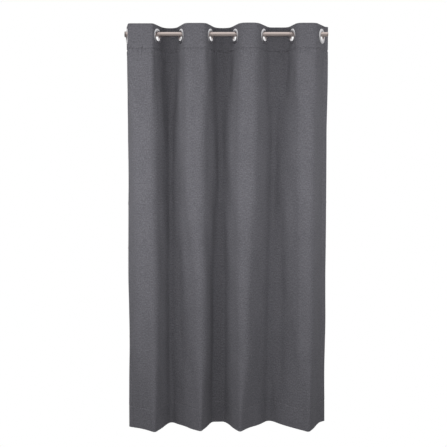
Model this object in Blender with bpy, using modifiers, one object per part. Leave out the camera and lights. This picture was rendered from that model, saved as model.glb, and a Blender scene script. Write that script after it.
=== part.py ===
# Eyelet curtain panel, threaded on its rod and hung open.
# Metres. X runs along the rod, -Y faces the room and +Z is up.
# The origin is on the rod's axis, at the middle of its length.
import math

import bmesh
import bpy

COLLECTION = "Eyelet_Curtain_Panel"
CUTTERS = "Eyelet_Curtain_Cutters"

# Clearances
TOUCH_GAP = 0.0003  # between two surfaces that touch on the real panel
CREASE_GAP = 0.001  # between two folds, along the cloth

# Cloth
DROP = 1.800  # top edge to bottom edge
TOP_ABOVE_ROD = 0.040  # top edge over the rod's axis
CLOTH = 0.001
STIFFENER = 0.0006
HEADER_DEPTH = 0.110
HEM_DEPTH = 0.100
SIDE_HEM = 0.025

# Eyelets
EYELET_BORE = 0.040
EYELET_OUTER = 0.066
BARREL_WALL = 0.0012
RIM_HEIGHT = 0.003
RIM_EDGE = 0.0012  # rim height at its outer edge
CLOTH_PAST_RIM = 0.002  # flat cloth that stays outside a rim
HOLE_PAST_BARREL = 0.0005

# How the cloth stands between the eyelets
FLAT_PITCH = 0.187  # eyelet to eyelet along the flat cloth
MARGIN = 0.0455  # outer eyelet to the cloth's side edge
MARGIN_CURL = 0.018  # radius of the right edge, which curls back along the rod
TURNS = (78, 70, 68, 70, 69, 63, 73, 60)  # cloth against the rod at each eyelet, degrees
# For each bulge, the straight cloth past the rim and how much of the rest is flat.
BULGES = (
    (0.0, 0.82),
    (0.0115, 0.02),
    (0.0, 0.48),
    (0.007, 0.08),
    (0.0, 0.24),
    (0.0, 0.48),
    (0.0, 0.43),
)
ARC_STEP = math.radians(20)

# Rod
ROD_DIAMETER = 0.020
ROD_WALL = 0.0012
ROD_PAST_LEFT = 0.0135  # rod's left end from the first eyelet
ROD_PAST_RIGHT = 0.0288
LEFT_CAP_DIAMETER = 0.026
LEFT_CAP_LENGTH = 0.005
RIGHT_CAP_LENGTH = 0.002
CAP_SPIGOT = 0.012
CAP_CHAMFER = 0.0008

SAME_POINT = 0.00001  # points nearer than this are one
FINEST_LENGTH = 0.0000001  # how closely a place along the cloth is found
EMPTY_SIZE = 0.03

ROUND_STEPS = 24
HANG_SAMPLES = 40
FOLDS = len(TURNS)

TOP_Z = TOP_ABOVE_ROD
BOTTOM_Z = TOP_Z - DROP
HEADER_Z = TOP_Z - HEADER_DEPTH
HEM_Z = BOTTOM_Z + HEM_DEPTH

# Layers, measured from the middle of the header towards the back
HALF_STIFFENER = STIFFENER / 2
FACING_LAYER = (HALF_STIFFENER + TOUCH_GAP, HALF_STIFFENER + TOUCH_GAP + CLOTH)
CLOTH_LAYER = (-FACING_LAYER[1], -FACING_LAYER[0])
STIFFENER_LAYER = (-HALF_STIFFENER, HALF_STIFFENER)
HEM_LAYER = (CLOTH_LAYER[1] + TOUCH_GAP, CLOTH_LAYER[1] + TOUCH_GAP + CLOTH)

ROD_RADIUS = ROD_DIAMETER / 2
RUN_LEAST = EYELET_OUTER / 2 + CLOTH_PAST_RIM
RIM_SEAT = FACING_LAYER[1] + TOUCH_GAP
BARREL_RADIUS = EYELET_BORE / 2 + BARREL_WALL


def eyelet_height():
    """Height of the eyelets' centres, where the most slanted barrel just hangs on the rod."""
    slant = math.pi / 2 - math.radians(min(TURNS))
    bore = EYELET_BORE / 2 * math.cos(math.pi / ROUND_STEPS)
    shift = (RIM_SEAT + RIM_HEIGHT) * math.tan(slant)
    reach = ROD_RADIUS / math.cos(slant)
    touching = []
    for k in range(HANG_SAMPLES):
        across = reach * k / HANG_SAMPLES
        rod_top = ROD_RADIUS * math.sqrt(1 - (across / reach) ** 2)
        touching.append(rod_top - math.sqrt(bore**2 - (across + shift) ** 2))
    return max(touching) + TOUCH_GAP


def start_collection(name):
    """An empty collection in the scene."""
    collection = bpy.data.collections.new(name)
    bpy.context.scene.collection.children.link(collection)
    return collection


def new_material(name, colour, metallic, roughness):
    material = bpy.data.materials.new(name)
    material.use_nodes = True
    shader = material.node_tree.nodes["Principled BSDF"]
    shader.inputs["Base Color"].default_value = (*colour, 1.0)
    shader.inputs["Metallic"].default_value = metallic
    shader.inputs["Roughness"].default_value = roughness
    return material


def bulge_runs(turn_a, turn_b, extra_run, flat_share):
    """Lengths and curvatures of the cloth from one eyelet to the next, for a bulge to the front.

    The cloth leaves straight, turns a corner, runs along the rod, turns back and comes in straight.
    The run at the steeper eyelet has the least length, and the other one ends at the same depth.
    """
    steep = max(turn_a, turn_b)
    slack = min(turn_a, turn_b)
    least = RUN_LEAST + extra_run
    corner_share = (1 - flat_share) / (steep + slack)
    depth_gain = math.cos(slack) - math.cos(steep)
    from_steep = least * math.sin(steep) + corner_share * (FLAT_PITCH - least) * depth_gain
    longer = from_steep / (math.sin(slack) + corner_share * depth_gain)
    rest = FLAT_PITCH - least - longer
    radius = corner_share * rest
    run_a, run_b = (least, longer) if turn_a >= turn_b else (longer, least)
    return [
        (run_a, 0.0),
        (radius * turn_a, 1 / radius),
        (flat_share * rest, 0.0),
        (radius * turn_b, 1 / radius),
        (run_b, 0.0),
    ]


def step_along(point, length, curvature):
    """The place and heading after a straight or round stretch."""
    x, y, heading = point
    if curvature == 0.0:
        return (x + length * math.cos(heading), y + length * math.sin(heading), heading)
    turned = heading + length * curvature
    x += (math.sin(turned) - math.sin(heading)) / curvature
    y -= (math.cos(turned) - math.cos(heading)) / curvature
    return (x, y, turned)


class ClothPath:
    """The middle of the header seen from above, by the length along it from the first eyelet."""

    def __init__(self):
        turns = [math.radians(turn) for turn in TURNS]
        self.stretches = []  # start length, start point, length, curvature
        self.eyelets = []  # length along the path, x, y, heading
        point = (0.0, 0.0, -turns[0])
        self.length = -MARGIN
        point = step_along(point, -MARGIN, 0.0)
        point = self.add(point, MARGIN, 0.0)
        self.eyelets.append((self.length, *point))
        for n, (extra_run, flat_share) in enumerate(BULGES):
            side = 1 if n % 2 == 0 else -1
            for length, curvature in bulge_runs(turns[n], turns[n + 1], extra_run, flat_share):
                point = self.add(point, length, side * curvature)
            self.eyelets.append((self.length, *point))
        point = self.add(point, RUN_LEAST, 0.0)
        self.add(point, MARGIN - RUN_LEAST, -1 / MARGIN_CURL)
        self.start = -MARGIN
        rod_length = ROD_PAST_LEFT + self.eyelets[-1][1] + ROD_PAST_RIGHT
        self.shift = ROD_PAST_LEFT - rod_length / 2

    def add(self, point, length, curvature):
        self.stretches.append((self.length, point, length, curvature))
        self.length += length
        return step_along(point, length, curvature)

    def at(self, s):
        """x, y and heading at a length along the path."""
        begun = [stretch for stretch in self.stretches if stretch[0] <= s]
        begin, point, _, curvature = begun[-1] if begun else self.stretches[0]
        x, y, heading = step_along(point, s - begin, curvature)
        return (x + self.shift, y, heading)

    def where(self, x):
        """The length along the path at which it passes x."""
        low = self.start
        high = self.length
        while high - low > FINEST_LENGTH:
            middle = (low + high) / 2
            if self.at(middle)[0] < x:
                low = middle
            else:
                high = middle
        return (low + high) / 2

    def stops(self, s_from, s_to):
        """Lengths at which an outline from one length to another needs a point."""
        found = [s_from, s_to]
        for begin, _, length, curvature in self.stretches:
            steps = max(1, math.ceil(abs(length * curvature) / ARC_STEP))
            found += [begin + length * k / steps for k in range(steps + 1)]
        inside = sorted(s for s in found if s_from <= s <= s_to)
        return [s for n, s in enumerate(inside) if n == 0 or s - inside[n - 1] > SAME_POINT]

    def offset(self, s, depth):
        """The point at a length, moved towards the back of the cloth."""
        x, y, heading = self.at(s)
        return (x - depth * math.sin(heading), y + depth * math.cos(heading))


def place(thing, collection, parent, location, material=None):
    """Links an object under its parent at a place given in the world."""
    collection.objects.link(thing)
    thing.parent = parent
    thing.location = [a - b for a, b in zip(location, parent["world"] if parent else (0, 0, 0))]
    if material:
        thing.data.materials.append(material)
    return thing


def axis_empty(name, collection, parent, location):
    """An empty on a joint's axis, which knows its own place in the world."""
    empty = bpy.data.objects.new(name, None)
    empty.empty_display_size = EMPTY_SIZE
    empty["world"] = location
    return place(empty, collection, parent, location)


def layer_strip(name, path, span, layer, heights, fold, collection, material):
    """One layer of one fold: its outline from above, pulled up to its height."""
    s_list = path.stops(*span)
    outline = [path.offset(s, layer[0]) for s in s_list]
    outline += [path.offset(s, layer[1]) for s in reversed(s_list)]
    origin = fold["world"]
    curve = bpy.data.curves.new(name, "CURVE")
    curve.dimensions = "2D"
    curve.fill_mode = "BOTH"
    curve.extrude = (heights[1] - heights[0]) / 2
    spline = curve.splines.new("POLY")
    spline.points.add(len(outline) - 1)
    for point, (x, y) in zip(spline.points, outline):
        point.co = (x - origin[0], y - origin[1], 0.0, 1.0)
    spline.use_cyclic_u = True
    middle = (origin[0], origin[1], (heights[0] + heights[1]) / 2)
    return place(bpy.data.objects.new(name, curve), collection, fold, middle, material)


def curve_to_mesh(thing):
    """The same object with its curve made a welded mesh, ready to be cut."""
    bpy.context.view_layer.update()
    depsgraph = bpy.context.evaluated_depsgraph_get()
    mesh = bpy.data.meshes.new_from_object(thing.evaluated_get(depsgraph))
    work = bmesh.new()
    work.from_mesh(mesh)
    bmesh.ops.remove_doubles(work, verts=work.verts, dist=SAME_POINT)
    work.to_mesh(mesh)
    work.free()
    name = thing.name
    solid = bpy.data.objects.new(name + "_solid", mesh)
    for collection in thing.users_collection:
        collection.objects.link(solid)
    solid.parent = thing.parent
    solid.location = thing.location
    bpy.data.objects.remove(thing)
    solid.name = name
    return solid


def hole_cutter(name, radius, length, collection, fold, location, heading):
    """A round cutter across the cloth at an eyelet."""
    mesh = bpy.data.meshes.new(name)
    work = bmesh.new()
    bmesh.ops.create_cone(
        work, cap_ends=True, segments=ROUND_STEPS, radius1=radius, radius2=radius, depth=length
    )
    work.to_mesh(mesh)
    work.free()
    cutter = place(bpy.data.objects.new(name, mesh), collection, fold, location)
    cutter.rotation_euler = (math.pi / 2, 0, heading)
    cutter.display_type = "WIRE"
    cutter.hide_render = True
    return cutter


def turned(name, mesh, closed=True):
    """A turned piece about its own Z, from a profile mesh."""
    thing = bpy.data.objects.new(name, mesh)
    screw = thing.modifiers.new("Turn", "SCREW")
    screw.axis = "Z"
    screw.steps = ROUND_STEPS
    screw.render_steps = ROUND_STEPS
    screw.use_merge_vertices = not closed
    screw.merge_threshold = SAME_POINT
    return thing


def profile_mesh(name, points, material, closed=True):
    """Radius and height points, down the outer side first."""
    mesh = bpy.data.meshes.new(name)
    count = len(points)
    edges = [(n, n + 1) for n in range(count - 1)]
    if closed:
        edges.append((count - 1, 0))
    mesh.from_pydata([(r, 0.0, z) for r, z in points], edges, [])
    mesh.materials.append(material)
    return mesh


def front_ring_profile():
    """A domed rim with the barrel that goes through the cloth. +Z is the room side."""
    bore = EYELET_BORE / 2
    outer = EYELET_OUTER / 2
    top = RIM_SEAT + RIM_HEIGHT
    lip = (outer - bore) / 4
    return [
        (bore + lip, top),
        ((bore + outer) / 2, top - RIM_EDGE / 4),
        (outer - lip / 2, RIM_SEAT + (RIM_HEIGHT + RIM_EDGE) / 2),
        (outer, RIM_SEAT + RIM_EDGE),
        (outer, RIM_SEAT),
        (BARREL_RADIUS, RIM_SEAT),
        (BARREL_RADIUS, -top + TOUCH_GAP),
        (bore, -top + TOUCH_GAP),
        (bore, RIM_SEAT + RIM_EDGE),
        (bore + lip / 4, top - RIM_EDGE / 2),
    ]


def back_ring_profile():
    """The ring that is pressed over the barrel at the back of the cloth."""
    inner = BARREL_RADIUS + TOUCH_GAP
    outer = EYELET_OUTER / 2
    low = -(RIM_SEAT + RIM_HEIGHT)
    lip = (outer - inner) / 4
    return [
        (outer, -RIM_SEAT),
        (outer, -RIM_SEAT - RIM_EDGE),
        (outer - lip / 2, -RIM_SEAT - (RIM_HEIGHT + RIM_EDGE) / 2),
        ((inner + outer) / 2, low + RIM_EDGE / 4),
        (inner + lip, low),
        (inner, low),
        (inner, -RIM_SEAT),
    ]


def tube_profile(length):
    inner = ROD_RADIUS - ROD_WALL
    return [
        (ROD_RADIUS, length / 2),
        (ROD_RADIUS, -length / 2),
        (inner, -length / 2),
        (inner, length / 2),
    ]


def cap_profile(radius, length):
    """A cap whose outer face is at zero height, with a spigot that plugs the tube below it."""
    spigot = ROD_RADIUS - ROD_WALL - TOUCH_GAP
    return [
        (0.0, 0.0),
        (radius - CAP_CHAMFER, 0.0),
        (radius, -CAP_CHAMFER),
        (radius, -length),
        (spigot, -length),
        (spigot, -length - CAP_SPIGOT + CAP_CHAMFER),
        (spigot - CAP_CHAMFER, -length - CAP_SPIGOT),
        (0.0, -length - CAP_SPIGOT),
    ]


def build_rod(collection, path, rod_axis, rod_metal, cap_metal):
    """The tube and its two end caps."""
    left = path.at(0.0)[0] - ROD_PAST_LEFT
    right = -left
    tube_left = left + LEFT_CAP_LENGTH + TOUCH_GAP
    tube_right = right - RIGHT_CAP_LENGTH - TOUCH_GAP
    profile = profile_mesh("rod_tube", tube_profile(tube_right - tube_left), rod_metal)
    tube = place(turned("rod_tube", profile), collection, rod_axis, ((tube_left + tube_right) / 2, 0, 0))
    tube.rotation_euler = (0, math.pi / 2, 0)

    caps = (
        ("rod_end_cap_left", LEFT_CAP_DIAMETER / 2, LEFT_CAP_LENGTH, left, -math.pi / 2),
        ("rod_end_cap_right", ROD_RADIUS, RIGHT_CAP_LENGTH, right, math.pi / 2),
    )
    for name, radius, length, x, turn in caps:
        profile = profile_mesh(name, cap_profile(radius, length), cap_metal, closed=False)
        cap = place(turned(name, profile, closed=False), collection, rod_axis, (x, 0, 0))
        cap.rotation_euler = (0, turn, 0)


def crease_axes(path):
    """Where each pair of folds hinges: halfway between their eyelets, on the hollow side of the crest."""
    axes = []
    for n in range(FOLDS - 1):
        x = (path.at(path.eyelets[n][0])[0] + path.at(path.eyelets[n + 1][0])[0]) / 2
        s = path.where(x)
        hollow = FACING_LAYER[1] if n % 2 == 0 else CLOTH_LAYER[0]
        axes.append((s, (x, path.at(s)[1] + hollow, 0.0)))
    return axes


def build_fold(n, path, fold, span, collection, cutters, materials):
    """The cloth, header, hem and eyelet of one fold, from crest to crest."""
    number = n + 1
    x, y, heading = path.at(path.eyelets[n][0])
    centre = (x, y, eyelet_height())
    hole_radius = BARREL_RADIUS + HOLE_PAST_BARREL
    hole_depth = 4 * RIM_SEAT
    cutter = hole_cutter(
        f"eyelet_hole_{number}", hole_radius, hole_depth, cutters, fold, centre, heading
    )
    layers = (
        ("cloth_fold", CLOTH_LAYER, (BOTTOM_Z, TOP_Z), materials["cloth"], True),
        ("header_stiffener", STIFFENER_LAYER, (HEADER_Z, TOP_Z - TOUCH_GAP), materials["stiffener"], True),
        ("header_facing", FACING_LAYER, (HEADER_Z, TOP_Z), materials["cloth"], True),
        ("bottom_hem", HEM_LAYER, (BOTTOM_Z, HEM_Z), materials["cloth"], False),
    )
    for kind, layer, heights, material, holed in layers:
        name = f"{kind}_{number}"
        strip = layer_strip(name, path, span, layer, heights, fold, collection, material)
        if holed:
            strip = curve_to_mesh(strip)
            cut = strip.modifiers.new("Eyelet hole", "BOOLEAN")
            cut.operation = "DIFFERENCE"
            cut.solver = "EXACT"
            cut.object = cutter

    for kind in ("front_ring", "back_ring"):
        ring = place(turned(f"eyelet_{number}_{kind}", materials[kind]), collection, fold, centre)
        ring.rotation_euler = (math.pi / 2, 0, heading)


def build_side_hems(path, folds, collection, material):
    """The cloth turned back along both side edges, between the header and the bottom hem."""
    heights = (HEM_Z + TOUCH_GAP, HEADER_Z - TOUCH_GAP)
    left = (path.start, path.start + SIDE_HEM)
    right = (path.length - SIDE_HEM, path.length)
    layer_strip("side_hem_left", path, left, HEM_LAYER, heights, folds[0], collection, material)
    layer_strip("side_hem_right", path, right, HEM_LAYER, heights, folds[-1], collection, material)


def build():
    for thing in list(bpy.data.objects):
        bpy.data.objects.remove(thing)
    collection = start_collection(COLLECTION)
    cutters = start_collection(CUTTERS)

    cloth = new_material("charcoal_cloth", (0.115, 0.113, 0.125), 0.0, 0.9)
    stiffener = new_material("stiffener", (0.75, 0.74, 0.70), 0.0, 0.95)
    eyelet_metal = new_material("eyelet_metal", (0.72, 0.72, 0.73), 1.0, 0.16)
    rod_metal = new_material("rod_metal", (0.66, 0.61, 0.58), 1.0, 0.34)
    cap_metal = new_material("cap_metal", (0.60, 0.59, 0.58), 1.0, 0.30)
    materials = {
        "cloth": cloth,
        "stiffener": stiffener,
        "front_ring": profile_mesh("front_ring", front_ring_profile(), eyelet_metal),
        "back_ring": profile_mesh("back_ring", back_ring_profile(), eyelet_metal),
    }

    path = ClothPath()
    rod_axis = axis_empty("rod_axis", collection, None, (0.0, 0.0, 0.0))
    build_rod(collection, path, rod_axis, rod_metal, cap_metal)

    creases = crease_axes(path)
    first = path.at(0.0)
    places = [(first[0], first[1], 0.0)] + [crease for _, crease in creases]
    ends = [path.start] + [s for s, _ in creases] + [path.length]
    folds = []
    for n in range(FOLDS):
        parent = folds[-1] if folds else rod_axis
        folds.append(axis_empty(f"fold_{n + 1}_axis", collection, parent, places[n]))
        span = (
            ends[n] + (CREASE_GAP / 2 if n > 0 else 0.0),
            ends[n + 1] - (CREASE_GAP / 2 if n < FOLDS - 1 else 0.0),
        )
        build_fold(n, path, folds[n], span, collection, cutters, materials)
    build_side_hems(path, folds, collection, cloth)


build()
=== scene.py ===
import math

import bmesh
import bpy
import numpy as np
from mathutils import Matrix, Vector


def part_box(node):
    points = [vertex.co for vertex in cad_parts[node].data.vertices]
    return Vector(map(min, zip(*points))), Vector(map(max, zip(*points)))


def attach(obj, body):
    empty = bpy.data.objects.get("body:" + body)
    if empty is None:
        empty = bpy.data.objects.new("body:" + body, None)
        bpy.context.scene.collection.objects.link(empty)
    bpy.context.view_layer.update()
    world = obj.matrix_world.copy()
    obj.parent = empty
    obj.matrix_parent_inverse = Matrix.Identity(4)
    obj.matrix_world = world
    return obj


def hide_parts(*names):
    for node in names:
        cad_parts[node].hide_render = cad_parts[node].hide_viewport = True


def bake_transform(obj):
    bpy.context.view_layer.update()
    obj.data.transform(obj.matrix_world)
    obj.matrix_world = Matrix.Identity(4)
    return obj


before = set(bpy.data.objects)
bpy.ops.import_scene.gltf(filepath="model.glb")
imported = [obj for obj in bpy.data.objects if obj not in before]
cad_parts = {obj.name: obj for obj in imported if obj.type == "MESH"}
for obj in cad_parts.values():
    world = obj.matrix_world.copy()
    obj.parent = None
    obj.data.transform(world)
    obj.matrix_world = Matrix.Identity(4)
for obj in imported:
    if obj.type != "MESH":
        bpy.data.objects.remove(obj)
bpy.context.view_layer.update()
eyeletCount = 8
print("frame loaded")


# One value in a material's node tree, so that its maths reads as maths
class Shade:
    def __init__(self, tree, socket=None):
        self.tree = tree
        self.socket = socket

    # adds one node and gives the value at its output
    def make(self, kind, inputs=None, out=0, **settings):
        node = self.tree.nodes.new(kind)
        for name, value in settings.items():
            setattr(node, name, value)
        for name, value in (inputs or {}).items():
            if isinstance(value, Shade):
                self.tree.links.new(value.socket, node.inputs[name])
            else:
                node.inputs[name].default_value = value
        return Shade(self.tree, node.outputs[out])

    def maths(self, operation, *values, **settings):
        numbered = dict(enumerate(values))
        return self.make("ShaderNodeMath", numbered, operation=operation, **settings)

    def __add__(self, other):
        return self.maths("ADD", self, other)

    def __sub__(self, other):
        return self.maths("SUBTRACT", self, other)

    def __mul__(self, other):
        return self.maths("MULTIPLY", self, other)

    def __truediv__(self, other):
        return self.maths("DIVIDE", self, other)

    def __rsub__(self, other):
        return self.maths("SUBTRACT", other, self)

    def __rtruediv__(self, other):
        return self.maths("DIVIDE", other, self)

    __radd__ = __add__
    __rmul__ = __mul__

    def clamped(self):
        return self.maths("ADD", self, 0.0, use_clamp=True)

    def sine(self):
        return self.maths("SINE", self)

    # noise of a given grain, stretched along the axes
    def noise(self, scale, stretch=(1, 1, 1), detail=2.0):
        spread = self.make("ShaderNodeMapping", {"Vector": self, "Scale": stretch})
        return self.make("ShaderNodeTexNoise", {"Vector": spread, "Scale": scale, "Detail": detail})

    # between two colours by this value; 6 and 7 are the mix node's colour inputs
    def between(self, low, high):
        return self.make(
            "ShaderNodeMix",
            {"Factor": self, 6: (*low, 1.0), 7: (*high, 1.0)},
            out=2,
            data_type="RGBA",
        )


# A material whose constants are set here; what varies is linked by the caller
def newMaterial(name, constants):
    material = bpy.data.materials.new(name)
    material.use_nodes = True
    shader = material.node_tree.nodes["Principled BSDF"]
    for socket, value in constants.items():
        shader.inputs[socket].default_value = value
    return material, shader, Shade(material.node_tree)


def link(value, shader, socket):
    value.tree.links.new(value.socket, shader.inputs[socket])


clothLook = {
    "dark": (0.066, 0.065, 0.0725),
    "light": (0.138, 0.1355, 0.151),
    "roughness": 0.86,
    "sheen": 0.03,
    "mottle": 1.4,
    "threadPitch": 0.0009,
    "weaveDepth": 0.00012,
}


# A plain weave of mixed light and dark yarns, on the cloth's own flat coordinates in metres
def weaveMaterial(name, look):
    material, shader, tree = newMaterial(
        name,
        {
            "Roughness": look["roughness"],
            "Specular IOR Level": 0.05,
            "Sheen Weight": look["sheen"],
            "Sheen Roughness": 0.5,
        },
    )
    flat = tree.make("ShaderNodeUVMap", uv_map="flat")
    part = tree.make("ShaderNodeSeparateXYZ", {0: flat})
    across = part
    down = Shade(part.tree, part.socket.node.outputs[1])
    turn = 2 * math.pi / look["threadPitch"]
    weave = (across * turn).sine() * (down * turn).sine()
    warp = flat.noise(1.0, (1500.0, 90.0, 1.0))
    weft = flat.noise(1.0, (90.0, 1300.0, 1.0))
    cloudy = flat.noise(9.0, detail=3.0)
    mottle = flat.noise(1.0, (210.0, 150.0, 1.0), 1.0) - 0.5
    slubs = flat.noise(1.0, (40.0, 330.0, 1.0), 2.0) - 0.5
    mixed = warp * 0.7 + weft * 0.7 + cloudy * 0.3 - 0.35 + weave * 0.08
    yarn = (mixed + mottle * look["mottle"] + slubs * (0.6 * look["mottle"])).clamped()
    link(yarn.between(look["dark"], look["light"]), shader, "Base Color")
    link(look["roughness"] - 0.08 + cloudy * 0.16, shader, "Roughness")
    height = weave * 0.5 + warp * 0.6 + weft * 0.6
    bump = tree.make(
        "ShaderNodeBump", {"Height": height, "Strength": 0.35, "Distance": look["weaveDepth"]}
    )
    link(bump, shader, "Normal")
    return material


def metalMaterial(name, colour, roughness, grain, stretch):
    material, shader, tree = newMaterial(
        name, {"Base Color": (*colour, 1.0), "Metallic": 1.0, "Roughness": roughness}
    )
    place = tree.make("ShaderNodeTexCoord", out=3)
    streaks = place.noise(grain, stretch, 3.0)
    smudge = place.noise(25.0)
    link(roughness * 0.8 + streaks * roughness * 0.4 + smudge * 0.05, shader, "Roughness")
    darker = tuple(0.9 * c for c in colour)
    link((streaks * 0.6 + smudge * 0.4).between(darker, colour), shader, "Base Color")
    bump = tree.make("ShaderNodeBump", {"Height": streaks, "Strength": 0.05, "Distance": 0.0002})
    link(bump, shader, "Normal")
    return material


def plainMaterial(name, colour, roughness):
    material, shader, tree = newMaterial(
        name, {"Base Color": (*colour, 1.0), "Roughness": roughness}
    )
    place = tree.make("ShaderNodeTexCoord", out=3)
    speck = place.noise(900.0)
    link(speck.between(tuple(0.8 * c for c in colour), colour), shader, "Base Color")
    return material


charcoal = weaveMaterial("charcoalCloth", clothLook)
interfacing = plainMaterial("interfacing", (0.55, 0.55, 0.53), 0.9)
threadFinish = plainMaterial("thread", (0.24, 0.237, 0.25), 0.55)
chrome = metalMaterial("chrome", (0.86, 0.85, 0.87), 0.27, 60.0, (1, 1, 1))
nickel = metalMaterial("brushedNickel", (0.70, 0.60, 0.565), 0.30, 900.0, (0.02, 1, 1))
capFinish = metalMaterial("capNickel", (0.55, 0.50, 0.48), 0.35, 500.0, (1, 1, 1))
print("materials made")


# Where the eyelets are and how each is turned, from their rings
class Eyelet:
    def __init__(self, n):
        self.n = n
        self.names = (f"eyelet_{n}_front_ring", f"eyelet_{n}_back_ring")
        boxes = [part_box(name) for name in self.names]
        front, back = [(low + high) / 2 for low, high in boxes]
        self.centre = (front + back) / 2
        self.axis = (back - front).normalized()
        self.low = min(low.x for low, high in boxes) - 0.001
        self.high = max(high.x for low, high in boxes) + 0.001
        self.outer = (boxes[0][1].z - boxes[0][0].z) / 2
        self.body = f"fold_{n}"


eyelets = [Eyelet(n + 1) for n in range(eyeletCount)]
# the radius of an eyelet's bore
bore = 0.020
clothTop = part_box("cloth_fold_1")[1].z
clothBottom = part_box("cloth_fold_1")[0].z
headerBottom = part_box("header_stiffener_1")[0].z
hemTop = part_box("bottom_hem_1")[1].z

# where the seams run: above the header's edge, below the hem's and in from the side edge
stitchAbove = 0.005
stitchBelow = 0.004
stitchFromEdge = 0.022
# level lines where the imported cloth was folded: height and strength
pressedLines = ((-0.744, 1.0), (-0.946, 0.8), (-1.35, 0.45), (-0.54, 0.35))
clothValues = {
    "thickness": 0.001,
    "headerLayer": 0.0011,
    "hemLayer": 0.0002,
    "columnsPerFold": 60,
    "rowGap": 0.0042,
    "headerRowGap": 0.0025,
    "seamDepth": 0.0034,
    "seamWidth": 0.0032,
    "hemSeamDepth": 0.0007,
    "sideSeamDepth": 0.0028,
    "pucker": 0.0016,
    "hemPucker": 0.0005,
    "dragLines": 0.0022,
    "dragReach": 0.22,
    "foldWidth": 0.19,
    "creaseDepth": 0.0009,
    "ruffle": 0.0022,
    "fineRuffle": 0.00022,
    "hemWave": 0.0020,
    "holeRadius": 0.0238,
    "edgeHem": 0.025,
    "edgeSteps": 5,
    "edgeStep": 0.002,
    "edgeCurl": 0.022,
}
# Corners of the folds seen from above, at three heights below the header: across, depth and
# radius of each corner, and which corners start the folds. A half is between two corners.
foldShapes = [
    {
        "height": -0.47,
        "marks": [0, 1.7, 3, 4.5, 6, 7.5, 9, 10.6, 13],
        "corners": [
            (-0.4395, 0.036, 0.0),
            (-0.404, -0.056, 0.036),
            (-0.313, -0.061, 0.036),
            (-0.2520, 0.072, 0.015),
            (-0.172, -0.052, 0.034),
            (-0.103, -0.060, 0.038),
            (-0.0275, 0.070, 0.018),
            (0.054, -0.056, 0.034),
            (0.127, -0.056, 0.038),
            (0.217, 0.074, 0.022),
            (0.315, -0.052, 0.034),
            (0.379, -0.060, 0.036),
            (0.431, 0.050, 0.018),
            (0.4540, 0.068, 0.0),
        ],
    },
    {
        "height": -1.38,
        "marks": [0, 2, 3, 5, 6.5, 8.5, 10, 13, 15],
        "corners": [
            (-0.4395, 0.022, 0.0),
            (-0.402, -0.042, 0.040),
            (-0.309, -0.067, 0.028),
            (-0.260, 0.060, 0.015),
            (-0.205, 0.042, 0.030),
            (-0.101, -0.067, 0.030),
            (-0.062, 0.058, 0.014),
            (-0.006, 0.060, 0.016),
            (0.056, -0.056, 0.024),
            (0.092, -0.058, 0.030),
            (0.193, 0.066, 0.024),
            (0.252, 0.056, 0.028),
            (0.326, -0.040, 0.034),
            (0.378, -0.067, 0.026),
            (0.432, 0.051, 0.014),
            (0.4540, 0.068, 0.0),
        ],
    },
    {
        "height": -1.76,
        "marks": [0, 1, 2, 3, 4.5, 6, 7, 8, 10],
        "corners": [
            (-0.4395, 0.000, 0.0),
            (-0.318, -0.0690, 0.006),
            (-0.2530, 0.0600, 0.018),
            (-0.113, -0.0670, 0.007),
            (-0.066, 0.0570, 0.014),
            (-0.010, 0.0580, 0.016),
            (0.062, -0.0640, 0.006),
            (0.196, 0.0740, 0.026),
            (0.366, -0.0690, 0.006),
            (0.432, 0.0520, 0.014),
            (0.4540, 0.0680, 0.0),
        ],
    },
]
# where each fold line leaves the header, across
headerMarks = [None, -0.333, -0.2545, -0.1325, -0.0260, 0.1010, 0.2230, 0.3545, None]


# the gap between points of a line seen from above, and over how many a line is softened
pointGap = 0.0005
softness = 8


# Evenly spaced points along a line of points, and their lengths along it
def evenly(points, gap):
    points = np.array(points, float)
    steps = np.linalg.norm(np.diff(points, axis=0), axis=1)
    length = np.concatenate([[0], np.cumsum(steps)])
    count = int(length[-1] / gap) + 1
    at = np.linspace(0, length[-1], count)
    return np.stack([np.interp(at, length, points[:, k]) for k in range(2)], 1), at


# A line of points with its corners softened, its ends kept
def softened(points, reach):
    size = int(3 * reach)
    weight = np.exp(-0.5 * (np.arange(-size, size + 1) / reach) ** 2)
    weight /= weight.sum()
    start = 2 * points[0] - points[size:0:-1]
    end = 2 * points[-1] - points[-2 : -size - 2 : -1]
    padded = np.concatenate([start, points, end])
    return np.stack([np.convolve(padded[:, k], weight, "valid") for k in range(2)], 1)


# The middle line of the header from above, through the stiffener's top corners
def headerLine():
    line = []
    for n in range(1, eyeletCount + 1):
        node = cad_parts[f"header_stiffener_{n}"]
        corners = np.array([v.co for v in node.data.vertices])
        corners = corners[corners[:, 2] > corners[:, 2].max() - 0.0001][:, :2]
        corners = np.unique(np.round(corners, 6), axis=0)
        apart = np.linalg.norm(corners[:, None] - corners[None], axis=2)
        np.fill_diagonal(apart, 1)
        middles = np.unique(np.round((corners + corners[apart.argmin(1)]) / 2, 6), axis=0)
        line += sorted(map(tuple, middles))
    (xa, ya), (xb, yb) = line[-2:]
    heading = math.atan2(yb - ya, xb - xa)
    for step in range(clothValues["edgeSteps"]):
        heading -= clothValues["edgeStep"] / clothValues["edgeCurl"]
        xb += clothValues["edgeStep"] * math.cos(heading)
        yb += clothValues["edgeStep"] * math.sin(heading)
        line.append((xb, yb))
    return softened(evenly(line, pointGap)[0], softness)


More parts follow.
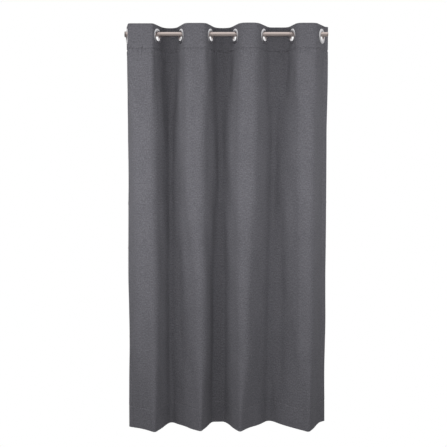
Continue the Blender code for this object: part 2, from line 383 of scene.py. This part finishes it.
# A line through corners, each rounded by its radius
def roundedLine(corners):
    line = [corners[0][:2]]
    marks = [0]
    for k in range(1, len(corners) - 1):
        before, here, after = [np.array(corners[k + j][:2]) for j in (-1, 0, 1)]
        radius = corners[k][2]
        a = (before - here) / np.linalg.norm(before - here)
        b = (after - here) / np.linalg.norm(after - here)
        half = math.acos(float(np.clip(a @ b, -1, 1))) / 2
        middle = here + (a + b) / np.linalg.norm(a + b) * radius / math.sin(half)
        start = here + a * radius / math.tan(half)
        end = here + b * radius / math.tan(half)
        first = math.atan2(*(start - middle)[::-1])
        sweep = math.atan2(*(end - middle)[::-1]) - first
        sweep = (sweep + math.pi) % (2 * math.pi) - math.pi
        for step in range(13):
            angle = first + sweep * step / 12
            line.append(tuple(middle + radius * np.array([math.cos(angle), math.sin(angle)])))
            if step == 6:
                marks.append(len(line) - 1)
    line.append(corners[-1][:2])
    marks.append(len(line) - 1)
    return line, marks


perFold = 400


# Points of a line, with the same number between each fold and the next
def byFold(points, lengths, foldLengths):
    at = np.concatenate(
        [np.linspace(a, b, perFold, endpoint=False) for a, b in zip(foldLengths, foldLengths[1:])]
        + [[foldLengths[-1]]]
    )
    return np.stack([np.interp(at, lengths, points[:, k]) for k in range(2)], 1), at


headerPoints, headerLengths = evenly(headerLine(), pointGap)
headerFolds = [0.0]
headerFolds += [float(np.interp(x, headerPoints[:, 0], headerLengths)) for x in headerMarks[1:-1]]
headerFolds.append(float(headerLengths[-1]))
headerCurve, headerAlong = byFold(headerPoints, headerLengths, headerFolds)


# One shape's line, with the same number of points between each fold and the next
def shapeCurve(shape):
    line, marks = roundedLine(shape["corners"])
    points = np.array(line)
    steps = np.linalg.norm(np.diff(points, axis=0), axis=1)
    lengths = np.concatenate([[0], np.cumsum(steps)])
    placed = [np.interp(mark, range(len(marks)), lengths[marks]) for mark in shape["marks"]]
    points, at = evenly(points, pointGap)
    curve, along = byFold(softened(points, softness), at, placed)
    print("shape at", shape["height"], "takes up", round(float(along[-1]), 3), "m of cloth")
    return curve, along * clothWidth / along[-1]


clothWidth = float(headerLengths[-1])
print("header takes up", round(clothWidth, 3), "m of cloth")
levels = [headerBottom] + [shape["height"] for shape in foldShapes]
curves = [(headerCurve, headerAlong)] + [shapeCurve(shape) for shape in foldShapes]
phases = np.linspace(0, len(headerMarks) - 1, len(headerAlong))


# Waves of mixed length, the same at every run
class Waves:
    def __init__(self, seed, count, across, down):
        random = np.random.default_rng(seed)
        self.kx = 2 * math.pi / random.uniform(*across, count) * random.choice([-1, 1], count)
        self.kz = 2 * math.pi / random.uniform(*down, count)
        self.start = random.uniform(0, 2 * math.pi, count)
        self.size = random.uniform(0.5, 1, count) / count**0.5

    def at(self, s, z):
        total = np.zeros(np.broadcast(s, z).shape)
        for kx, kz, start, size in zip(self.kx, self.kz, self.start, self.size):
            total += size * np.sin(kx * s + kz * z + start)
        return total


longWaves = Waves(3, 14, (0.09, 0.22), (0.35, 1.1))
fineWaves = Waves(11, 16, (0.022, 0.06), (0.10, 0.5))
dragWaves = Waves(5, 12, (0.05, 0.10), (0.25, 0.8))
puckerWaves = Waves(17, 10, (0.011, 0.024), (0.3, 0.9))
sagWaves = Waves(23, 6, (0.15, 0.5), (5.0, 9.0))
creaseWaves = Waves(29, 8, (0.2, 0.7), (5.0, 9.0))


def ramp(value, start, end):
    share = np.clip((value - start) / (end - start), 0, 1)
    return share * share * (3 - 2 * share)


# A rounded swell of height 1 about a middle
def swell(value, middle, width):
    return np.exp(-(((value - middle) / width) ** 2))


# How far the cloth stands off its smooth folds, to the back, at a flat place and a height
def relief(s, z):
    values = clothValues
    below = headerBottom - z
    free = ramp(below, 0.0, 0.20)
    out = values["ruffle"] * free * longWaves.at(s, z)
    out = out + values["fineRuffle"] * ramp(below, 0.0, 0.06) * fineWaves.at(s, z)
    drag = ramp(below, 0.0, 0.05) * np.exp(-np.maximum(below, 0) / values["dragReach"])
    out = out + values["dragLines"] * drag * dragWaves.at(s, z)
    puckers = puckerWaves.at(s, z)
    seam = swell(z, headerBottom + stitchAbove, values["seamWidth"])
    out = out + values["seamDepth"] * seam * (1 + 0.35 * puckers)
    out = out + values["pucker"] * puckers * swell(z, headerBottom - 0.010, 0.013)
    out = out + values["hemSeamDepth"] * swell(z, hemTop - stitchBelow, 0.0026)
    out = out + values["sideSeamDepth"] * free * swell(s, stitchFromEdge, 0.0030)
    out = out + values["hemPucker"] * puckers * swell(z, hemTop, 0.030)
    for height, share in pressedLines:
        wander = height + 0.0015 * creaseWaves.at(s, 0 * z)
        out = out - share * values["creaseDepth"] * swell(z, wander, 0.0055)
    return out


# Where the smooth folds are from above, and the flat place across, at a fold phase and a height
def smoothPlace(t, z):
    t, z = np.broadcast_arrays(t, z)
    found = np.zeros((3,) + t.shape)
    share = 1.0
    for k, (curve, along) in enumerate(curves):
        entering = share
        share = ramp(-z, -levels[k], -levels[k + 1]) if k + 1 < len(levels) else 0.0
        weight = entering - share
        if k:
            weight = np.where(z < levels[k - 1], weight, 0.0)
        for row, values in zip(found, (curve[:, 0], curve[:, 1], along)):
            row += weight * np.interp(t, phases, values)
    return found


# The middle of the cloth with its relief, and the flat place across
def clothPlace(t, z):
    x, y, s = smoothPlace(t, z)
    step = 0.012
    xa, ya = smoothPlace(np.maximum(t - step, 0), z)[:2]
    xb, yb = smoothPlace(np.minimum(t + step, phases[-1]), z)[:2]
    dx, dy = xb - xa, yb - ya
    size = np.sqrt(dx * dx + dy * dy)
    out = relief(s, z)
    sag = ramp(hemTop + 0.25 - z, 0, 0.30) * clothValues["hemWave"] * sagWaves.at(s, 0 * z)
    return np.stack([x - out * dy / size, y + out * dx / size, z + np.maximum(sag, 0)], -1), s


# The same, with the cloth's own directions along it, up it and to its back
def clothFrame(t, z):
    place, s = clothPlace(t, z)
    step = 0.008
    right = clothPlace(np.minimum(t + step, phases[-1]), z)[0]
    left = clothPlace(np.maximum(t - step, 0), z)[0]
    up = clothPlace(t, z + 0.0012)[0] - clothPlace(t, z - 0.0012)[0]
    along = right - left
    along /= np.linalg.norm(along, axis=-1, keepdims=True)
    up /= np.linalg.norm(up, axis=-1, keepdims=True)
    back = np.cross(up, along)
    back /= np.linalg.norm(back, axis=-1, keepdims=True)
    return place, along, up, back, s


# The fold phase at which a row of cloth passes a place across
def phaseAt(x, z):
    t = phases
    across = smoothPlace(t, z)[0]
    return float(np.interp(x, across, t))


print("cloth's shape ready")


# Rows of the cloth from the facing's edge over the top, down the front and up the hem:
# height, offset to the back, rise, outer side's direction to the back and up, flat place
def clothRows():
    half = clothValues["thickness"] / 2
    layer = clothValues["headerLayer"]
    topMiddle = clothTop - layer - half
    hemRound = (clothValues["headerLayer"] + clothValues["hemLayer"]) / 2
    hemMiddle = (clothValues["hemLayer"] - clothValues["headerLayer"]) / 2
    bottomMiddle = clothBottom + hemRound + half
    rows = []

    def heights(high, low, gap):
        return np.linspace(high, low, max(2, round((high - low) / gap) + 1))

    facing = heights(topMiddle, headerBottom, clothValues["headerRowGap"])[::-1]
    for z in facing[:-1]:
        rows.append((z, layer, 0.0, 1.0, 0.0, headerBottom - z))
    arc = headerBottom - topMiddle
    for angle in np.linspace(0, math.pi, 9):
        rows.append(
            (topMiddle, layer * math.cos(angle), layer * math.sin(angle),
             math.cos(angle), math.sin(angle), arc - layer * angle)
        )
    flatTop = arc - layer * math.pi
    front = list(heights(topMiddle, headerBottom + 0.012, clothValues["headerRowGap"])[1:])
    front += list(heights(front[-1], headerBottom - 0.006, 0.0012)[1:])
    front += list(heights(front[-1], hemTop + 0.010, clothValues["rowGap"])[1:])
    front += list(heights(front[-1], hemTop - 0.014, 0.0014)[1:])
    front += list(heights(front[-1], bottomMiddle, clothValues["rowGap"])[1:])
    for z in front[:-1]:
        rows.append((z, -layer, 0.0, -1.0, 0.0, flatTop - (topMiddle - z)))
    flatBottom = flatTop - (topMiddle - bottomMiddle)
    for angle in np.linspace(0, math.pi, 9):
        rows.append(
            (bottomMiddle, hemMiddle - hemRound * math.cos(angle), -hemRound * math.sin(angle),
             -math.cos(angle), -math.sin(angle), flatBottom - hemRound * angle)
        )
    flatHem = flatBottom - hemRound * math.pi
    for z in heights(hemTop, bottomMiddle, 0.006)[::-1][1:]:
        rows.append((z, clothValues["hemLayer"], 0.0, 1.0, 0.0, flatHem - (z - bottomMiddle)))
    return np.array(rows)


# A closed thin sheet from a grid of middle points: outer side, inner side and all its edges
def sheetMesh(name, middle, outward, half, flat, keep, material):
    rowCount, columnCount = middle.shape[:2]
    total = rowCount * columnCount
    number = np.arange(total).reshape(rowCount, columnCount)
    quads = np.stack(
        [number[:-1, :-1], number[1:, :-1], number[1:, 1:], number[:-1, 1:]], -1
    )[keep]
    used = np.unique(quads)
    renumber = np.full(total, -1)
    renumber[used] = np.arange(len(used))
    quads = renumber[quads]
    middle = middle.reshape(-1, 3)[used]
    outward = outward.reshape(-1, 3)[used]
    flat = flat.reshape(-1, 2)[used]
    count = len(used)
    points = np.concatenate([middle + outward * half, middle - outward * half])
    sides = np.concatenate([quads[:, [k, (k + 1) % 4]] for k in range(4)])
    keys = sides[:, 0] * count + sides[:, 1]
    backKeys = sides[:, 1] * count + sides[:, 0]
    border = sides[~np.isin(keys, backKeys)]
    walls = np.stack(
        [border[:, 1], border[:, 0], border[:, 0] + count, border[:, 1] + count], -1
    )
    faces = np.concatenate([quads, quads[:, ::-1] + count, walls])
    mesh = bpy.data.meshes.new(name)
    mesh.vertices.add(len(points))
    mesh.vertices.foreach_set("co", points.astype(np.float32).ravel())
    mesh.loops.add(faces.size)
    mesh.loops.foreach_set("vertex_index", faces.astype(np.int32).ravel())
    mesh.polygons.add(len(faces))
    mesh.polygons.foreach_set("loop_start", np.arange(0, faces.size, 4, dtype=np.int32))
    mesh.update(calc_edges=True)
    layer = mesh.uv_layers.new(name="flat")
    both = np.concatenate([flat, flat])
    layer.data.foreach_set("uv", both[faces.ravel()].astype(np.float32).ravel())
    normals = np.concatenate([outward, -outward])[faces.ravel()].reshape(-1, 4, 3)
    wallPoints = points[walls]
    edge = np.cross(wallPoints[:, 1] - wallPoints[:, 0], wallPoints[:, 3] - wallPoints[:, 0])
    edge /= np.maximum(np.linalg.norm(edge, axis=1, keepdims=True), 1e-12)
    normals[len(faces) - len(walls) :] = edge[:, None]
    mesh.normals_split_custom_set(normals.reshape(-1, 3))
    mesh.materials.append(material)
    thing = bpy.data.objects.new(name, mesh)
    bpy.context.scene.collection.objects.link(thing)
    return thing


# A grid of the cloth between two cuts, in layers given by the rows
def clothGrid(rows, startPhases, endPhases, columns):
    z = np.repeat(rows[:, :1], columns + 1, 1)
    u = np.linspace(0, 1, columns + 1)[None]
    t = startPhases[:, None] * (1 - u) + endPhases[:, None] * u
    place, along, up, back, s = clothFrame(t, z)
    middle = place + back * rows[:, None, 1:2] + up * rows[:, None, 2:3]
    outward = back * rows[:, None, 3:4] + up * rows[:, None, 4:5]
    flat = np.stack([s, np.repeat(rows[:, 5:6], columns + 1, 1)], -1)
    return middle, outward, flat, s, z


rows = clothRows()
cutPhases = [np.zeros(len(rows))]
for eyelet in eyelets:
    cutPhases.append(np.array([phaseAt(eyelet.centre.x, z) for z in rows[:, 0]]))
cutPhases.append(np.full(len(rows), phases[-1]))
eyeletAlong = [
    float(np.interp(eyelet.centre.x, headerCurve[:, 0], headerAlong)) for eyelet in eyelets
]


# Which squares of a grid are left when the eyelets' holes are cut
def keptSquares(s, z, radius):
    kept = np.ones((s.shape[0] - 1, s.shape[1] - 1), bool)
    middleS = (s[:-1, :-1] + s[1:, 1:]) / 2
    middleZ = (z[:-1, :-1] + z[1:, 1:]) / 2
    for along, eyelet in zip(eyeletAlong, eyelets):
        far = (middleS - along) ** 2 + (middleZ - eyelet.centre.z) ** 2
        kept &= far > radius**2
    return kept


# Moves with one fold at the side edges; a piece between two folds only has its placement baked into
# its mesh
def join(piece, k):
    if k == 0:
        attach(piece, "fold_1")
    elif k == eyeletCount:
        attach(piece, f"fold_{eyeletCount}")
    else:
        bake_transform(piece)


pieceNames = ["LeftEdge"] + [f"Fold{n}" for n in range(1, eyeletCount)] + ["RightEdge"]
replaced = [[]] + [[n] for n in range(1, eyeletCount)] + [[eyeletCount]]
panels = []
half = clothValues["thickness"] / 2
for k, name in enumerate(pieceNames):
    edgePiece = k in (0, eyeletCount)
    columns = 24 if edgePiece else clothValues["columnsPerFold"]
    middle, outward, flat, s, z = clothGrid(rows, cutPhases[k], cutPhases[k + 1], columns)
    kept = keptSquares(s, z, clothValues["holeRadius"])
    piece = sheetMesh("cloth" + name, middle, outward, half, flat, kept, charcoal)
    widths = s[:, -1] - s[:, 0]
    for n in replaced[k]:
        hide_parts(f"cloth_fold_{n}", f"header_facing_{n}", f"bottom_hem_{n}")
    panels.append(piece)
print("cloth pieces made")

stiffenerValues = {"thickness": 0.0006, "rowGap": 0.0035, "columnsPerFold": 48}


# The stiff tape inside the header
def makeStiffener(k, name):
    z = np.arange(clothTop - 0.003, headerBottom, -stiffenerValues["rowGap"])
    tapeRows = np.stack([z, 0 * z, 0 * z, 0 * z - 1, 0 * z, z], 1)
    start = np.full(len(z), cutPhases[k][0])
    end = np.full(len(z), cutPhases[k + 1][0])
    columns = 12 if k in (0, eyeletCount) else stiffenerValues["columnsPerFold"]
    middle, outward, flat, s, depth = clothGrid(tapeRows, start, end, columns)
    kept = keptSquares(s, depth, clothValues["holeRadius"])
    halfTape = stiffenerValues["thickness"] / 2
    piece = sheetMesh("stiffener" + name, middle, outward, halfTape, flat, kept, interfacing)
    return piece


stiffeners = [makeStiffener(k, name) for k, name in enumerate(pieceNames)]
for k in range(1, eyeletCount + 1):
    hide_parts(f"header_stiffener_{k}")
print("stiffener made")


# The fold phase at a distance in from the cloth's side edge, at each height
def insetPhase(z, edgePhase, inward, distance):
    t = np.full_like(z, edgePhase)
    edge = smoothPlace(t, z)[2]
    for step in range(6):
        short = distance - np.abs(smoothPlace(t, z)[2] - edge)
        t = np.clip(t + inward * short / clothValues["foldWidth"], 0, phases[-1])
    return t


# The side hem: the cloth's edge rolled to the back and laid down the width of the hem
def makeSideHem(name, edgePhase, inward):
    back = clothValues["hemLayer"]
    front = -clothValues["headerLayer"]
    middleLayer = (back + front) / 2
    reach = (back - front) / 2
    top, bottom = headerBottom - 0.0015, hemTop + 0.0015
    z = np.linspace(top, bottom, round((top - bottom) / 0.006) + 1)
    turn = np.linspace(0, math.pi, 7)
    inset = np.linspace(0, clothValues["edgeHem"], 9)[1:]
    columns = [
        (0.0, middleLayer - reach * cos, reach * sin, -cos, sin)
        for cos, sin in zip(np.cos(turn), np.sin(turn))
    ]
    columns += [(d, back, 0.0, 1.0, 0.0) for d in inset]
    middle = np.zeros((len(z), len(columns), 3))
    outward = np.zeros_like(middle)
    flat = np.zeros((len(z), len(columns), 2))
    for j, (d, layer, beyond, toBack, toSide) in enumerate(columns):
        place, along, up, backward, s = clothFrame(insetPhase(z, edgePhase, inward, d), z)
        middle[:, j] = place + backward * layer - along * inward * beyond
        outward[:, j] = backward * toBack - along * inward * toSide
        flat[:, j] = np.stack([s - inward * 2 * d, z], -1)
    if inward < 0:
        middle, outward, flat = middle[:, ::-1], outward[:, ::-1], flat[:, ::-1]
    middle, outward, flat = middle[:, ::-1], outward[:, ::-1], flat[:, ::-1]
    kept = np.ones((len(z) - 1, len(columns) - 1), bool)
    piece = sheetMesh(name, middle, outward, half, flat, kept, charcoal)
    return piece


sideHems = [makeSideHem("sideHemLeft", 0.0, 1), makeSideHem("sideHemRight", phases[-1], -1)]
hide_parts("side_hem_left")
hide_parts("side_hem_right")
print("side hems made")

stitchValues = {
    "length": 0.0028,
    "gap": 0.0036,
    "thickness": 0.0006,
    "headerAbove": stitchAbove,
    "hemBelow": stitchBelow,
    "fromEdge": stitchFromEdge,
    "jitter": 0.10,
}
# how far a stitch's middle is from the middle of the cloth
stitchLift = half + 0.12 * stitchValues["thickness"]


# Node tree: one short round thread at each point, laid along the seam and facing out
def stitchTree():
    tree = bpy.data.node_groups.new("stitches", "GeometryNodeTree")
    face = tree.interface
    face.new_socket("Geometry", in_out="INPUT", socket_type="NodeSocketGeometry")
    for name, value in (("Length", "length"), ("Thickness", "thickness"), ("Jitter", "jitter")):
        socket = face.new_socket(name, in_out="INPUT", socket_type="NodeSocketFloat")
        socket.default_value = stitchValues[value]
    seed = face.new_socket("Seed", in_out="INPUT", socket_type="NodeSocketInt")
    seed.default_value = 7
    face.new_socket("Geometry", in_out="OUTPUT", socket_type="NodeSocketGeometry")

    def add(kind, inputs=None, **settings):
        node = tree.nodes.new(kind)
        for name, value in settings.items():
            setattr(node, name, value)
        for name, value in (inputs or {}).items():
            if isinstance(value, bpy.types.NodeSocket):
                tree.links.new(value, node.inputs[name])
            else:
                node.inputs[name].default_value = value
        return node

    given = add("NodeGroupInput")
    bead = add("GeometryNodeMeshUVSphere", {"Segments": 6, "Rings": 5, "Radius": 0.5})
    along = add("GeometryNodeInputNamedAttribute", {"Name": "along"}, data_type="FLOAT_VECTOR")
    facing = add("GeometryNodeInputNamedAttribute", {"Name": "facing"}, data_type="FLOAT_VECTOR")
    first = add(
        "FunctionNodeAlignRotationToVector", {"Vector": along.outputs[0]}, axis="X"
    )
    second = add(
        "FunctionNodeAlignRotationToVector",
        {"Rotation": first.outputs[0], "Vector": facing.outputs[0]},
        axis="Z",
        pivot_axis="X",
    )
    chance = add(
        "FunctionNodeRandomValue",
        {2: -1.0, 3: 1.0, "Seed": given.outputs["Seed"]},
        data_type="FLOAT",
    )
    share = add(
        "ShaderNodeMath",
        {0: chance.outputs[1], 1: given.outputs["Jitter"]},
        operation="MULTIPLY",
    )
    longer = add("ShaderNodeMath", {0: share.outputs[0], 1: 1.0}, operation="ADD")
    lengthNow = add(
        "ShaderNodeMath",
        {0: longer.outputs[0], 1: given.outputs["Length"]},
        operation="MULTIPLY",
    )
    size = add(
        "ShaderNodeCombineXYZ",
        {0: lengthNow.outputs[0], 1: given.outputs["Thickness"], 2: given.outputs["Thickness"]},
    )
    placed = add(
        "GeometryNodeInstanceOnPoints",
        {
            "Points": given.outputs["Geometry"],
            "Instance": bead.outputs["Mesh"],
            "Rotation": second.outputs[0],
            "Scale": size.outputs[0],
        },
    )
    real = add("GeometryNodeRealizeInstances", {"Geometry": placed.outputs[0]})
    painted = add(
        "GeometryNodeSetMaterial", {"Geometry": real.outputs[0], "Material": threadFinish}
    )
    smooth = add("GeometryNodeSetShadeSmooth", {"Geometry": painted.outputs[0]})
    result = add("NodeGroupOutput")
    tree.links.new(smooth.outputs[0], result.inputs[0])
    inputs = [socket for socket in face.items_tree if socket.in_out == "INPUT"]
    return tree, {socket.name: socket.identifier for socket in inputs}


threadTree, threadInputs = stitchTree()


# Turns points with directions into a plain mesh of stitches
def makeStitches(name, places, alongs, facings):
    mesh = bpy.data.meshes.new(name)
    mesh.from_pydata([tuple(p) for p in places], [], [])
    for title, values in (("along", alongs), ("facing", facings)):
        attribute = mesh.attributes.new(title, "FLOAT_VECTOR", "POINT")
        attribute.data.foreach_set("vector", np.array(values, np.float32).ravel())
    thing = bpy.data.objects.new(name, mesh)
    bpy.context.scene.collection.objects.link(thing)
    modifier = thing.modifiers.new("stitches", "NODES")
    modifier.node_group = threadTree
    modifier[threadInputs["Length"]] = stitchValues["length"]
    modifier[threadInputs["Thickness"]] = stitchValues["thickness"]
    modifier[threadInputs["Jitter"]] = stitchValues["jitter"]
    modifier[threadInputs["Seed"]] = 7 + len(bpy.data.meshes)
    graph = bpy.context.evaluated_depsgraph_get()
    final = bpy.data.meshes.new_from_object(thing.evaluated_get(graph))
    thing.modifiers.clear()
    thing.data = final
    final.name = name
    return thing


# Points of one level row of stitches, on the outer side of the cloth between two phases
def levelRow(height, startPhase, endPhase, layer, side):
    t = np.linspace(startPhase, endPhase, 800)
    z = np.full_like(t, height)
    s = smoothPlace(t, z)[2]
    gap = stitchValues["gap"]
    wanted = np.arange(math.ceil(s[0] / gap) * gap, s[-1], gap)
    t = np.interp(wanted, s, t)
    place, along, up, back, s = clothFrame(t, np.full_like(t, height))
    return place + back * (layer + side * stitchLift), along, back * side


stitches = []
frontLayer = -clothValues["headerLayer"]
for k, name in enumerate(pieceNames):
    found = []
    rowAt = (
        (headerBottom + stitchValues["headerAbove"], frontLayer, -1),
        (headerBottom + stitchValues["headerAbove"], clothValues["headerLayer"], 1),
        (hemTop - stitchValues["hemBelow"], frontLayer, -1),
        (hemTop - stitchValues["hemBelow"], clothValues["hemLayer"], 1),
    )
    for height, layer, side in rowAt:
        start = 0.0 if k == 0 else phaseAt(eyelets[k - 1].centre.x, height)
        end = phases[-1] if k == eyeletCount else phaseAt(eyelets[k].centre.x, height)
        found.append(levelRow(height, start, end, layer, side))
    if k in (0, eyeletCount):
        edgePhase, inward = (0.0, 1) if k == 0 else (phases[-1], -1)
        z = np.arange(headerBottom - 0.004, hemTop + 0.004, -stitchValues["gap"])
        t = insetPhase(z, edgePhase, inward, stitchValues["fromEdge"])
        place, along, up, back, s = clothFrame(t, z)
        found.append((place + back * (frontLayer - stitchLift), up, -back))
        found.append((place + back * (clothValues["hemLayer"] + stitchLift), up, back))
    places, alongs, facings = [np.concatenate(part) for part in zip(*found)]
    piece = makeStitches("stitches" + name, places, alongs, facings)
    stitches.append(piece)
print("stitches made")


# A turned piece about a line: points are distance from the axis and place along it
def turnedMesh(name, profile, origin, axis, segments, material, closed=True):
    axis = Vector(axis).normalized()
    side = axis.orthogonal().normalized()
    other = axis.cross(side)
    count = len(profile)
    points = []
    for step in range(segments):
        angle = 2 * math.pi * step / segments
        outward = side * math.cos(angle) + other * math.sin(angle)
        points += [tuple(origin + axis * z + outward * r) for r, z in profile]
    faces = []
    rings = count if closed else count - 1
    for step in range(segments):
        here, there = step * count, (step + 1) % segments * count
        for n in range(rings):
            m = (n + 1) % count
            faces.append((here + n, here + m, there + m, there + n))
    mesh = bpy.data.meshes.new(name)
    mesh.from_pydata(points, [], faces)
    work = bmesh.new()
    work.from_mesh(mesh)
    bmesh.ops.remove_doubles(work, verts=work.verts, dist=0.0000001)
    bmesh.ops.recalc_face_normals(work, faces=work.faces)
    for face in work.faces:
        face.smooth = True
    for edge in work.edges:
        edge.smooth = edge.calc_face_angle(0) < math.radians(50)
    work.to_mesh(mesh)
    work.free()
    mesh.materials.append(material)
    thing = bpy.data.objects.new(name, mesh)
    bpy.context.scene.collection.objects.link(thing)
    return thing


ringValues = {"segments": 96, "seat": 0.0019, "rise": 0.0038, "wall": 0.0012, "lip": 0.0022}


# A closed outline with the outer face domed from the rim's edge to the lip round the bore
def ringProfile(outer, reachInside):
    seat, rise, wall = ringValues["seat"], ringValues["rise"], ringValues["wall"]
    profile = [(outer - 0.0006, seat), (outer - 0.0001, seat + 0.0002), (outer, seat + 0.0007)]
    for step in range(1, 11):
        angle = math.pi / 2 * step / 10
        across = outer - (outer - bore - ringValues["lip"]) * (1 - math.cos(angle)) * 0.93
        profile.append((across, seat + 0.0007 + (rise - 0.0007) * math.sin(angle)))
    for step in range(0, 9):
        angle = math.pi / 2 * step / 8
        across = bore + ringValues["lip"] * (1 - math.sin(angle))
        profile.append((across, seat + rise - ringValues["lip"] * (1 - math.cos(angle)) * 0.8))
    profile.append((bore, -reachInside))
    profile.append((bore + wall, -reachInside))
    profile.append((bore + wall, seat))
    return profile


for eyelet in eyelets:
    for name, direction, inside in zip(eyelet.names, (-1, 1), (0.0, -0.0002)):
        profile = ringProfile(eyelet.outer, inside)
        piece = turnedMesh(
            f"ring{eyelet.n}{'Front' if direction < 0 else 'Back'}",
            profile,
            eyelet.centre,
            eyelet.axis * direction,
            ringValues["segments"],
            chrome,
        )
        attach(piece, eyelet.body)
        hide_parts(name)
print("eyelets made")

rodValues = {"segments": 96, "wall": 0.0012, "rounding": 0.0006}


def makeRod():
    low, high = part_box("rod_tube")
    radius = (high.z - low.z) / 2
    length = high.x - low.x
    inner = radius - rodValues["wall"]
    edge = rodValues["rounding"]
    profile = [(inner, 0), (radius - edge, 0), (radius - edge * 0.3, edge * 0.3), (radius, edge)]
    profile += [(radius, length - edge), (radius - edge * 0.3, length - edge * 0.3)]
    profile += [(radius - edge, length), (inner, length)]
    origin = Vector((low.x, (low.y + high.y) / 2, (low.z + high.z) / 2))
    piece = turnedMesh("rod", profile, origin, (1, 0, 0), rodValues["segments"], nickel)
    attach(piece, "rod")
    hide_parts("rod_tube")
    return piece


# An end cap: a domed-edge disc outside the tube and a spigot inside it
def makeCap(name, node, side):
    low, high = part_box(node)
    tubeLow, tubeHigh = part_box("rod_tube")
    radius = (high.z - low.z) / 2
    face = low.x if side < 0 else high.x
    end = tubeLow.x if side < 0 else tubeHigh.x
    inside = high.x if side < 0 else low.x
    head = abs(end - face)
    depth = abs(inside - face)
    spigot = (tubeHigh.z - tubeLow.z) / 2 - rodValues["wall"] - 0.0003
    edge = min(0.0012, head * 0.45)
    profile = [(0.0, 0.0)]
    for step in range(7):
        angle = math.pi / 2 * step / 6
        profile.append((radius - edge * (1 - math.sin(angle)), edge * (1 - math.cos(angle))))
    profile += [(radius, head - edge * 0.4), (radius - edge * 0.4, head), (spigot, head)]
    profile += [(spigot, depth - 0.0008), (spigot - 0.0008, depth), (0.0, depth)]
    middle = (low + high) / 2
    origin = Vector((face, middle.y, middle.z))
    piece = turnedMesh(name, profile, origin, (-side, 0, 0), 72, capFinish, closed=False)
    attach(piece, "rod")
    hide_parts(node)
    return piece


makeRod()
makeCap("capLeft", "rod_end_cap_left", -1)
makeCap("capRight", "rod_end_cap_right", 1)
print("rod made")

for k, piece in enumerate(panels):
    hems = [sideHems[0]] if k == 0 else [sideHems[1]] if k == eyeletCount else []
    going = [stiffeners[k], stitches[k]] + hems
    for part in [piece] + going:
        join(part, k)
print("cloth joined to the folds")

lightValues = {
    "front": 0.56,
    "side": 0.08,
    "behind": 1.50,
    "mirrored": 0.55,
    "mirroredLevel": 0.45,
    "lamps": {
        "frontLamp": ((-0.15, -1.35, -0.50), 10.0, (1.6, 0.9)),
        "leftLamp": ((-1.3, -0.95, -0.50), 15.5, (1.0, 0.9)),
        "rightLamp": ((1.2, -0.95, -0.50), 10.0, (1.0, 0.9)),
    },
    "aim": (0, 0, -0.5),
    "paper": (1.0, 1.0, 1.0),
    "floor": (0.45, 0.45, 0.45),
}


def makeLight(name, place, target, power, size):
    lamp = bpy.data.lights.new(name, "AREA")
    lamp.energy = power
    lamp.shape = "RECTANGLE"
    lamp.size, lamp.size_y = size
    thing = bpy.data.objects.new(name, lamp)
    thing.location = place
    thing.visible_camera = False
    thing.visible_glossy = False
    thing.rotation_euler = (Vector(target) - Vector(place)).to_track_quat("-Z", "Y").to_euler()
    bpy.context.scene.collection.objects.link(thing)


def makeStage():
    world = bpy.data.worlds.new("studio")
    world.use_nodes = True
    surround = world.node_tree.nodes["Background"]
    surround.inputs["Color"].default_value = (1, 1, 1, 1)
    tree = Shade(world.node_tree)
    direction = tree.make("ShaderNodeTexCoord")
    depth = tree.make("ShaderNodeSeparateXYZ", {0: direction}, out=1)
    facing = (depth * -2.5 + 0.35).clamped() * lightValues["front"]
    backing = (depth * 2.5 - 0.75).clamped() * lightValues["behind"]
    soft = facing + backing + lightValues["side"]
    path = tree.make("ShaderNodeLightPath")
    mirrored = Shade(path.tree, path.socket.node.outputs["Is Glossy Ray"])
    apart = tree.make("ShaderNodeSeparateXYZ", {0: direction}, out=2)
    level = tree.maths("ABSOLUTE", apart) * lightValues["mirroredLevel"]
    white = tree.maths("MAXIMUM", path, mirrored * (level + lightValues["mirrored"]))
    strength = tree.maths("MAXIMUM", soft * (1 - path) * (1 - mirrored), white)
    link(strength, surround, "Strength")
    bpy.context.scene.world = world
    paper, shader, tree = newMaterial(
        "paper", {"Base Color": (*lightValues["floor"], 1.0), "Roughness": 0.9}
    )
    seen = tree.make("ShaderNodeLightPath")
    glow = tree.make("ShaderNodeEmission", {"Color": (*lightValues["paper"], 1.0)})
    plain = Shade(tree.tree, shader.outputs[0])
    both = tree.make("ShaderNodeMixShader", {0: seen, 1: plain, 2: glow})
    tree.tree.links.new(both.socket, tree.tree.nodes["Material Output"].inputs[0])
    mesh = bpy.data.meshes.new("floor")
    wide, level = 14.0, clothBottom - 0.55
    corners = [(-wide, -wide), (wide, -wide), (wide, wide), (-wide, wide)]
    mesh.from_pydata([(x, y, level) for x, y in corners], [], [(0, 1, 2, 3)])
    mesh.materials.append(paper)
    floor = bpy.data.objects.new("floor", mesh)
    bpy.context.scene.collection.objects.link(floor)
    for name, (place, power, size) in lightValues["lamps"].items():
        makeLight(name, place, lightValues["aim"], power, size)
    bpy.context.scene.view_settings.view_transform = "Standard"


cameraValues = {"place": (-0.0125, -3.0, -0.56), "lens": 54.3, "shift": -0.0500, "down": 3.32}


def makeCamera():
    lens = bpy.data.cameras.new("camera")
    lens.lens = cameraValues["lens"]
    lens.sensor_width = 36.0
    lens.shift_y = cameraValues["shift"]
    camera = bpy.data.objects.new("camera", lens)
    camera.location = cameraValues["place"]
    camera.rotation_euler = (math.radians(90 - cameraValues["down"]), 0, 0)
    bpy.context.scene.collection.objects.link(camera)
    bpy.context.scene.camera = camera


makeStage()
makeCamera()
print("stage ready")
